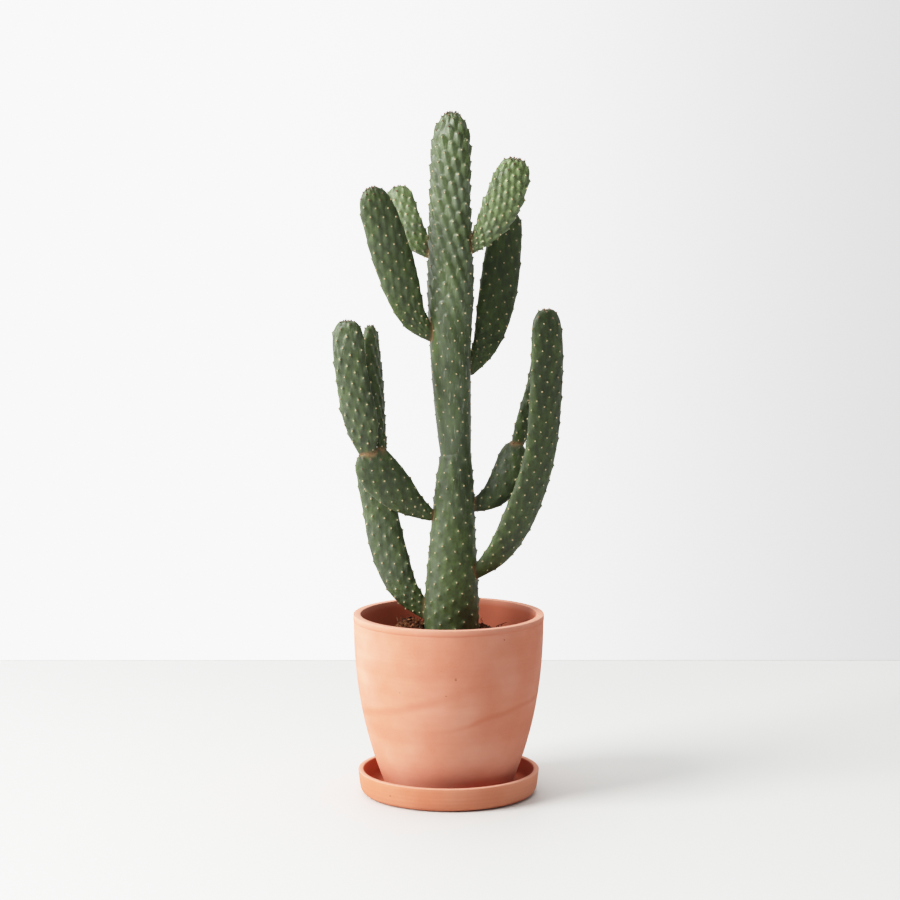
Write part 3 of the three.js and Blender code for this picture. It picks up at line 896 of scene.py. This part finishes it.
cork = {name: np.zeros(len(skin.data.vertices)) for name, skin in skins.items()}
for name, stem in stems.items():
    carrier = stem.plan.get("carrier")
    if carrier:
        on_pad = nearness(skins[name], skins[carrier], CORK_REACH)
        near_foot = shares_of(points_of(skins[name]), stem) < 0.3
        cork[name] = np.maximum(cork[name], on_pad * near_foot)
        joint = stem.centre(0.08)
        near_joint = np.linalg.norm(points_of(skins[carrier]) - joint, axis=1) < ROUND_JOINT * MM
        on_carrier = nearness(skins[carrier], skins[name], CORK_REACH)
        cork[carrier] = np.maximum(cork[carrier], on_carrier * near_joint)
for name, skin in skins.items():
    paint(skin, "cork", cork[name])
print("points with cork:", int(sum((c > 0.3).sum() for c in cork.values())))

# %% [markdown]
# ## Cactus skin
#
# The skin is a thick living cuticle under a film of wax. Dark green shows in the
# valleys, where the wax is thin, and the valleys are also painted darker, as painted
# shade between the tubercles. The tubercles are paler and greyer, from the thick wax
# on them and from painted sheen. Young pads are a light yellow green. The wax makes
# a soft, broad shine, so the surface is neither glossy nor quite matte.


# %% Skin material
def make_skin(name):
    material, add, shader, place = new_material(name)
    ridge, fresh, wax, shine, corky = (
        add("Attribute", {}, out="Fac", attribute_name=kept)
        for kept in ("tubercle", "fresh", "wax", "shine", "cork")
    )
    # Cells and pores are too fine to show; they are drawn as 2.5 mm mottling. Patches of
    # thick or rubbed-off wax are 25 mm across, and older, darker blotches 12 mm. Growth
    # bands 7 mm wide and scuffs 2 mm wide run up the skin, five times as long.
    upwards = add("Mapping", {"Vector": place, "Scale": (1, 1, 0.2)})
    mottle, patches, blotches, streaks, scuffs = (
        add("TexNoise", {"Vector": along, "Scale": 1 / (size * MM), "Detail": detail})
        for along, size, detail in (
            (place, 2.5, 4.0), (place, 25, 3.0), (place, 12, 4.0),
            (upwards, 7, 2.0), (upwards, 2, 3.0),
        )
    )
    # Valleys are painted darker than crests, here and in the fresh colours below: partly thin wax,
    # partly painted shade in the hollows.
    green = lay_over(add, "#2B3618", "#3C4A25", ridge)
    green = lay_over(add, green, "#4A5B26", streaks, 0.4, 0.65, 0.6)
    green = lay_over(add, green, lay_over(add, "#596B34", "#788A57", ridge), fresh)
    green = lay_over(add, green, "#2F371E", mottle, 0.35, 0.65, 0.45)
    green = lay_over(add, green, "#232B14", blotches, 0.5, 0.7, 0.55)
    # Pale wax lies on the tubercles, more in some patches than in others; it is also painted sheen
    # on them.
    on_ridge = add("MapRange", {"Value": ridge, "To Min": 0.15, "To Max": 0.6})
    green_waxed_and_sheened = lay_over(add, green, "#747E6E", patches, 0.38, 0.68, times=(on_ridge, wax))
    # Old scuffs, thin whitish scratches, show where it is smooth.
    green_waxed_and_sheened = lay_over(add, green_waxed_and_sheened, "#8E9480", scuffs, 0.58, 0.72, 0.35, times=(wax,))
    cork_noise = add("MapRange", {"Value": mottle, "To Min": 0.4, "To Max": 1.3})
    cork_share = add("Math", {0: corky, 1: cork_noise}, operation="MULTIPLY", use_clamp=True)
    rusty = lay_over(add, "#8A6A48", "#5A432D", mottle, 0.35, 0.65, 0.45)
    # Smooth wax gives a crisper sheen; worn skin and cork are duller.
    worn = add("MapRange", {"Value": shine, "To Min": 0.6, "To Max": 0.4})
    rough = add("Math", {0: mottle, 1: 0.15, 2: worn}, operation="MULTIPLY_ADD")
    pores = add("Bump", {"Height": mottle, "Strength": 0.25, "Distance": 0.35 * MM})
    furrows = {"Height": streaks, "Strength": 0.45, "Distance": 1.2 * MM, "Normal": pores}
    # The coat is the wax, a thin film of its own, a little smoother than the skin under it.
    set_sockets(shader, {
        "Base Color": lay_over(add, green_waxed_and_sheened, rusty, cork_share), "Normal": add("Bump", furrows),
        "Roughness": add("Math", {0: cork_share, 1: 0.3, 2: rough}, operation="MULTIPLY_ADD"),
        "IOR": 1.45, "Specular IOR Level": 0.55,
        "Coat Weight": 0.18, "Coat Roughness": 0.4, "Coat IOR": 1.44,
    })
    return material


waxy_skin = make_skin("cactus_skin_waxy")
for name, skin in skins.items():
    skin.data.materials.append(waxy_skin)
    young = name in ("pad_upper_left_back", "pad_upper_right")
    hand_over(skin, "young_skin" if young else "skin", name)

# %% [markdown]
# ## Areoles
#
# An areole is a cushion of cream wool, about 2 mm across, with a few short
# bristles that break off at a touch. On the tips they are young and rusty brown,
# with longer bristles. One of each is modelled and copied to the tops of the
# tubercles. By a joint some have been lost, so one that would crowd the last ones
# is left out.

# %% Wool material
def make_wool(name, pale, deep):
    material, add, shader, place = new_material(name)
    tangle = add("TexNoise", {"Vector": place, "Scale": 1 / (0.8 * MM), "Detail": 3.0})
    set_sockets(shader, {
        "Base Color": lay_over(add, pale, deep, tangle, 0.3, 0.7),
        "Normal": add("Bump", {"Height": tangle, "Strength": 0.5, "Distance": 0.3 * MM}),
        "Roughness": 0.95, "Sheen Weight": 0.4,
    })
    return material


grown_wool = make_wool("areole_wool_cream", "#D2BF95", "#9E825B")
young_wool = make_wool("areole_wool_rusty", "#85603F", "#4E3321")
print("wool:", grown_wool.name, young_wool.name)


# %% One areole
BRISTLES = 6


def model_areole(name, radius, bristle, wool):
    deselect_all()
    bpy.ops.mesh.primitive_ico_sphere_add(
        subdivisions=1, radius=radius * MM, scale=(1, 1, 0.6), location=(0, 0, 0.1 * radius * MM)
    )
    areole = settle(name)
    bpy.ops.object.mode_set(mode="EDIT")
    for k in range(BRISTLES):
        turn = k * 2 * math.pi / BRISTLES + 0.3
        lean = 0.35 + 0.25 * (k % 2)
        half = 0.5 * bristle * MM
        reach = 0.45 * radius * MM + half * math.sin(lean)
        height = 0.3 * radius * MM + half * math.cos(lean)
        bpy.ops.mesh.primitive_cone_add(
            vertices=3, radius1=0.11 * MM, depth=bristle * MM, rotation=(0, lean, turn),
            location=(reach * math.cos(turn), reach * math.sin(turn), height),
        )
    bpy.ops.object.mode_set(mode="OBJECT")
    bpy.ops.object.shade_smooth()
    areole.data.materials.append(wool)
    return areole


grown_areole = model_areole("areole_grown", 0.9, 1.0, grown_wool)
young_areole = model_areole("areole_young", 0.95, 1.8, young_wool)
print("faces of one areole:", len(grown_areole.data.polygons))


# %% Copies joined into one piece
def join_copies(name, placings):
    """A copy of each model at its placing, all joined into one piece."""
    copies = []
    for model, placing in placings:
        copy = model.copy()
        copy.data = model.data.copy()
        copy.data.transform(placing)
        bpy.context.scene.collection.objects.link(copy)
        copies.append(copy)
    deselect_all()
    for copy in copies:
        copy.select_set(True)
    bpy.context.view_layer.objects.active = copies[0]
    bpy.ops.object.join()
    return settle(name)


# %% An areole on every tubercle
LEAST_APART = 0.55


def areole_placings(skin, stem, turns, shares):
    dice = random.Random(stem.name)
    surface = surface_of(skin)
    spots, placings = [], []
    for foot, out, share in zip(stem.place(turns, shares), stem.normal(turns, shares), shares):
        if relief_shares(stem, share) < 0.05:
            continue
        spot, up, _, _ = surface.find_nearest(foot + out * stem.plan["relief"] * MM)
        young = share > stem.tip_start + 0.2 * (1 - stem.tip_start)
        crowded = LEAST_APART * math.sqrt(stem.plan["area"]) * MM
        if share < 0.3 and any((spot - placed).length < crowded for placed in spots):
            continue
        spots.append(spot)
        lean = Vector(out).lerp(up, 0.5).to_track_quat("Z", "Y").to_matrix().to_4x4()
        spin = Matrix.Rotation(dice.uniform(0, 2 * math.pi), 4, "Z")
        size = Matrix.Scale(dice.uniform(0.85, 1.15), 4)
        placing = Matrix.Translation(spot) @ lean @ spin @ size
        placings.append((young_areole if young else grown_areole, placing))
    return placings


for name, stem in stems.items():
    placings = areole_placings(skins[name], stem, *spirals[name])
    hand_over(join_copies(name + "_areoles", placings), "areoles")
for model in (grown_areole, young_areole):
    bpy.data.objects.remove(model)

# %% [markdown]
# ## Soil
#
# Potting soil is a mix of peat, bark and fibres. It lies level by the wall of
# the pot and is heaped round the stem, with a higher heap at the left and a small
# one at the right. The body is one closed mesh: rings are drawn in from the wall
# to the hole for the stem and down into it, and the first ring is drawn down
# inside the pot. Lumps come from two sizes of cloud texture.

# %% Soil sizes, in millimetres
SOIL_LEVEL = 160
SOIL_RINGS = 26
SOIL_SIDES = 120
SOIL_GAP = 0.4
STEM_HOLE = {"x": 3, "radius": 30.8, "deep": 28.3}
HEAP = {"x": 3, "y": 0, "height": 15, "reach": 40}
SIDE_HEAP = {"x": -42, "y": 4, "height": 20, "reach": 19}
RIGHT_HEAP = {"x": 38, "y": 12, "height": 8, "reach": 15}


def heap_rise(heap, x, y):
    away = np.hypot(x - heap["x"], y - heap["y"]) / heap["reach"]
    return heap["height"] * np.exp(-(away**2))


def soil_rise(x, y):
    """Height above the level by the wall, in millimetres."""
    return sum(heap_rise(heap, x, y) for heap in (HEAP, SIDE_HEAP, RIGHT_HEAP))


# %% Soil body
def inside_wall(height):
    return pot_radius(height) - POT["wall"] - SOIL_GAP


soil_edge = inside_wall(SOIL_LEVEL)
top_rings = [
    (*(soil_edge + (STEM_HOLE[side] - soil_edge) * k for side in ("radius", "deep")), SOIL_LEVEL)
    for k in np.linspace(0, 1, SOIL_RINGS + 1)
]
hole_rings = [top_rings[-1], (30, 27.6, 157), (22, 20.2, 121.6)]
wall_rings = [top_rings[0]] + [(inside_wall(h), inside_wall(h), h) for h in (130, 90, 55, 30)]
wall_rings += [(58, 58, POT["floor"] + SOIL_GAP)]
soil = start_ring("soil_body", SOIL_SIDES, soil_edge, SOIL_LEVEL)
draw_rings(top_rings)
draw_rings(hole_rings)
bpy.ops.mesh.edge_face_add()
bpy.ops.mesh.select_all(action="DESELECT")
bpy.ops.object.mode_set(mode="OBJECT")
for vertex in soil.data.vertices[:SOIL_SIDES]:
    vertex.select = True
bpy.ops.object.mode_set(mode="EDIT")
draw_rings(wall_rings)
bpy.ops.mesh.edge_face_add()
leave_editing()
apply_modifier(soil, "SUBSURF", levels=1, render_levels=1, subdivision_type="SIMPLE")
soil_points = points_of(soil) / MM
# The rings were drawn round the pot's middle; the hole is moved over to the stem.
on_top = soil_points[:, 2] > SOIL_LEVEL - 0.01
reach = reach_of(soil_points)
over = STEM_HOLE["x"] * np.clip((soil_edge - reach) / (soil_edge - STEM_HOLE["radius"]), 0, 1)
over = np.where(on_top | (reach < STEM_HOLE["radius"] + 0.5), over, 0)
soil_points[:, 0] += over
soil.data.vertices.foreach_set("co", (soil_points * MM).ravel())
print("soil edge:", round(soil_edge, 1), "mm from the middle")


# %% Heaps and lumps
def cloud_texture(name, size):
    texture = bpy.data.textures.new(name, "CLOUDS")
    texture.noise_scale = size * MM
    return texture


# Weights run from 0 to 1, so the heaps are weighed as shares of this height, in millimetres.
HIGHEST = 40
rise = soil_rise(soil_points[:, 0], soil_points[:, 1])
weigh(soil, "heap", np.where(on_top, rise / HIGHEST, 0))
weigh(soil, "top", on_top.astype(float))
apply_modifier(
    soil, "DISPLACE", direction="Z", vertex_group="heap", strength=HIGHEST * MM, mid_level=0
)
for name, size, height in (("soil_lumps", 9, 7), ("soil_crumbs", 3.5, 3.5)):
    apply_modifier(
        soil, "DISPLACE", direction="Z", vertex_group="top", strength=height * MM, mid_level=0.5,
        texture=cloud_texture(name, size), texture_coords="LOCAL",
    )
smooth(soil)
print("soil top:", round(points_of(soil)[:, 2].max() / MM), "mm")


# %% Soil material
def make_soil_material(name, colours, size):
    """Dark peat, with brown and reddish bark in it."""
    material, add, shader, place = new_material(name)
    bits = add("TexVoronoi", {"Vector": place, "Scale": 1 / (size * MM)}, out="Color")
    shade = add("TexNoise", {"Vector": place, "Scale": 1 / (6 * MM), "Detail": 4.0})
    shift = lay_over(add, bits, shade.node.outputs["Color"], 0.55)
    steps = [(0.3 + 0.4 * k / (len(colours) - 1), colour) for k, colour in enumerate(colours)]
    set_sockets(shader, {
        "Base Color": add("ValToRGB", {"Fac": shift}, stops=steps),
        "Normal": add("Bump", {"Height": shade, "Strength": 0.8, "Distance": 1.5 * MM}),
        "Roughness": 0.95, "Specular IOR Level": 0.2,
    })
    return material


peat = make_soil_material("potting_soil_peat", ["#1E120C", "#3A2418", "#4F3120", "#6B4229"], 2.5)
bark = make_soil_material("soil_bark_chips", ["#21140E", "#462B1B", "#6A4129", "#86573A"], 4)
straw = make_soil_material("soil_fibres", ["#2B1C14", "#4A3020", "#8A6B4A"], 5)
soil.data.materials.append(peat)
hand_over(soil, "soil", "soil")

# %% [markdown]
# ## Crumbs, chips and twigs
#
# What makes soil look like soil is the loose stuff on top. Three bark chips and
# two twigs are modelled, and copies of them, turned and sized at random from a
# fixed seed, are dropped on the soil. They lie thickest on the two
# large heaps.


# %% Models of a crumb and a twig
def model_chip(name, seed, size):
    deselect_all()
    bpy.ops.mesh.primitive_ico_sphere_add(subdivisions=1, radius=MM)
    chip = settle(name)
    bpy.ops.object.mode_set(mode="EDIT")
    bpy.ops.transform.vertex_random(offset=0.45 * MM, seed=seed)
    bpy.ops.transform.resize(value=size)
    bpy.ops.object.mode_set(mode="OBJECT")
    chip.data.materials.append(bark)
    return chip


def model_twig(name, bends, radius):
    """A thin twig, drawn out link by link, with a bend at each."""
    deselect_all()
    bpy.ops.mesh.primitive_circle_add(vertices=4, radius=radius * MM, fill_type="NGON")
    twig = settle(name)
    bpy.ops.object.mode_set(mode="EDIT")
    for across, up in bends:
        bpy.ops.mesh.extrude_region_move(
            TRANSFORM_OT_translate={"value": (across * MM, 0.3 * across * MM, up * MM)}
        )
        bpy.ops.transform.resize(value=(0.86, 0.86, 1))
    leave_editing()
    twig.data.materials.append(straw)
    return twig


chips = [
    model_chip("chip_round", 3, (1.0, 0.9, 0.8)),
    model_chip("chip_long", 5, (1.7, 0.8, 0.6)),
    model_chip("chip_flat", 8, (1.5, 1.2, 0.35)),
]
BENT = ((0.6, 2.2), (1.2, 1.8), (-0.6, 2.4), (-1.0, 2.0))
CURLED = ((1.0, 1.4), (1.6, 0.6), (1.2, -0.6), (0.4, -1.2), (-0.6, -0.8))
twigs = [model_twig("twig_bent", BENT, 0.45), model_twig("twig_curled", CURLED, 0.3)]
print("models of soil bits:", len(chips) + len(twigs))


# %% Dropping copies on the soil
soil_surface = surface_of(soil)
stem_surfaces = [surface_of(skins[name]) for name in ("trunk_lower", "pad_lower_left")]


def on_soil(x, y):
    """The place on the soil below a point, or nothing inside a stem segment."""
    spot, _, _, _ = soil_surface.ray_cast(Vector((x * MM, y * MM, 0.25)), Vector((0, 0, -1)))
    if spot is None or spot.z < 150 * MM:
        return None
    for surface in stem_surfaces:
        near, out, _, _ = surface.find_nearest(spot)
        if (spot - near).dot(out) < 0.8 * MM:
            return None
    return spot


def drop(name, models, spots, sizes, stand, seed):
    dice = random.Random(seed)
    placings = []
    for x, y in spots:
        spot = on_soil(x, y)
        if spot is not None:
            lean = Matrix.Rotation(dice.uniform(-stand, stand), 4, "X")
            lean = lean @ Matrix.Rotation(dice.uniform(-stand, stand), 4, "Y")
            spin = Matrix.Rotation(dice.uniform(0, 2 * math.pi), 4, "Z")
            size = Matrix.Scale(dice.uniform(*sizes), 4)
            placings.append((dice.choice(models), Matrix.Translation(spot) @ spin @ lean @ size))
    hand_over(join_copies(name, placings), "soil")


def scatter(count, seed, reach):
    """Random spots, half of them all over and half on the two large heaps."""
    dice = random.Random(seed)
    spots = []
    for k in range(count):
        if k % 2:
            away, turn = reach * math.sqrt(dice.random()), dice.uniform(0, 2 * math.pi)
            spots.append((away * math.cos(turn), away * math.sin(turn)))
        elif k % 4:
            spots.append((dice.gauss(SIDE_HEAP["x"], 15), dice.gauss(SIDE_HEAP["y"], 15)))
        else:
            spots.append((dice.gauss(HEAP["x"], 34), dice.gauss(HEAP["y"], 34)))
    return [spot for spot in spots if math.hypot(*spot) < reach]


# A few twigs that show over the rim, right of the stem.
STANDING_TWIGS = [(31, 9), (33, 10), (36, 12), (50, 14), (52, 13)]
drop("soil_bark", chips, scatter(2600, 11, 88), (0.7, 2.1), 1.2, 12)
drop("soil_fibres", twigs, [*STANDING_TWIGS, *scatter(420, 21, 86)], (0.7, 1.5), 1.4, 22)
for model in chips + twigs:
    bpy.data.objects.remove(model)

# %% [markdown]
# ## Studio
#
# The plant stands on a white table that ends 0.7 m behind it, in a white room. A
# real wall there would hide the plant from behind, so the white of the room is
# painted on the surroundings: bright behind the plant, brightest at the left, and
# dimmer in front, where they only fill the shadows. One large soft light stands
# high at the front left, so that the right side of everything is in soft shade. A
# weak, low one at the left and a broad one overhead stand for what the room throws
# back.


# %% Table
TABLE_BEHIND = 0.69
TABLE_SIZE = 8
white_paint, add, shader, place = new_material("studio_table_white_paint")
unevenness = add("TexNoise", {"Vector": place, "Scale": 3.0, "Detail": 2.0})
tone = lay_over(add, "#D4D5D2", "#C4C6C2", unevenness, most=0.05)
set_sockets(shader, {"Base Color": tone, "Roughness": 0.6})
deselect_all()
bpy.ops.mesh.primitive_plane_add(size=TABLE_SIZE, location=(0, TABLE_BEHIND - TABLE_SIZE / 2, 0))
studio = settle("studio_table")
studio.data.materials.append(white_paint)
bpy.ops.object.mode_set(mode="EDIT")
bpy.ops.mesh.select_all(action="DESELECT")
bpy.ops.object.mode_set(mode="OBJECT")
for edge in studio.data.edges:
    ends = [studio.data.vertices[i].co.y for i in edge.vertices]
    edge.select = min(ends) > TABLE_BEHIND - 0.1
bpy.ops.object.mode_set(mode="EDIT")
bpy.ops.mesh.select_mode(type="EDGE")
for move in ((0, 0, -0.004), (0, 0.003, 0), (0, 0, 0.004)):
    bpy.ops.mesh.extrude_region_move(TRANSFORM_OT_translate={"value": move})
bpy.ops.mesh.select_mode(type="VERT")
bpy.ops.object.mode_set(mode="OBJECT")
print("studio:", [round(c, 2) for c in studio.dimensions])


# %% Lights: place, height of what each is aimed at, size and watts
for name, place, aimed, size, watts in (
    ("key_light", (-2.1, -1.0, 1.75), 0.35, 1.3, 188),
    ("side_light", (-2.5, -0.05, 0.45), 0.35, 1.2, 45),
    ("top_light", (0.2, -0.2, 3.2), 0, 2.4, 60),
):
    bpy.ops.object.light_add(type="AREA", location=place)
    light = bpy.context.object
    light.name = name
    light.data.size = size
    light.data.energy = watts
    way = Vector((0, 0, aimed)) - light.location
    light.rotation_euler = way.to_track_quat("-Z", "Y").to_euler()
    print(name, watts, "W")

# %% Surroundings
world = bpy.data.worlds.new("studio_surroundings")
bpy.context.scene.world = world
world.use_nodes = True
add = partial(add_node, world.node_tree)
# On the surroundings, Generated is the direction of each place in the room.
sideways = add("SeparateXYZ", {0: add("TexCoord", {}, out="Generated")}, out="X")
to_right = add(
    "MapRange",
    {"Value": sideways, "From Min": -0.08, "From Max": 0.22, "To Min": 2.36, "To Max": 1.25},
    interpolation_type="SMOOTHSTEP",
)
behind = add(
    "MapRange", {"Value": sideways.node.outputs["Y"], "From Min": -0.1, "From Max": 0.35},
    interpolation_type="SMOOTHSTEP",
)
brightness = add("Mix", {0: behind, 2: 0.42, 3: to_right}, data_type="FLOAT")
surroundings = world.node_tree.nodes["Background"]
set_sockets(surroundings, {"Color": (1, 1, 1, 1), "Strength": brightness})
print("surroundings:", world.name)

# %% [markdown]
# ## Film
#
# A camera rolls bright light off softly, which is why the lit side of the pot is
# pale and the white room is not quite white. A straight scale would burn them
# out. The curve below gives each brightness x, up to 4, the share
# 1 - exp(-x ** 1.2), which is soft at the bright end and a little deep at the dark one.

# %% Film curve
view = bpy.context.scene.view_settings
view.view_transform = "Standard"
view.use_curve_mapping = True
film = view.curve_mapping
BRIGHTEST = 4
film.white_level = (BRIGHTEST, BRIGHTEST, BRIGHTEST)
TOE = 1.2
for x in (0.03, 0.1, 0.25, 0.5, 0.9, 1.5, 2.4):
    film.curves[3].points.new(x / BRIGHTEST, 1 - math.exp(-(x**TOE)))
film.curves[3].points[-1].location = (1, 1 - math.exp(-(BRIGHTEST**TOE)))
film.update()
print("film curve points:", len(film.curves[3].points))
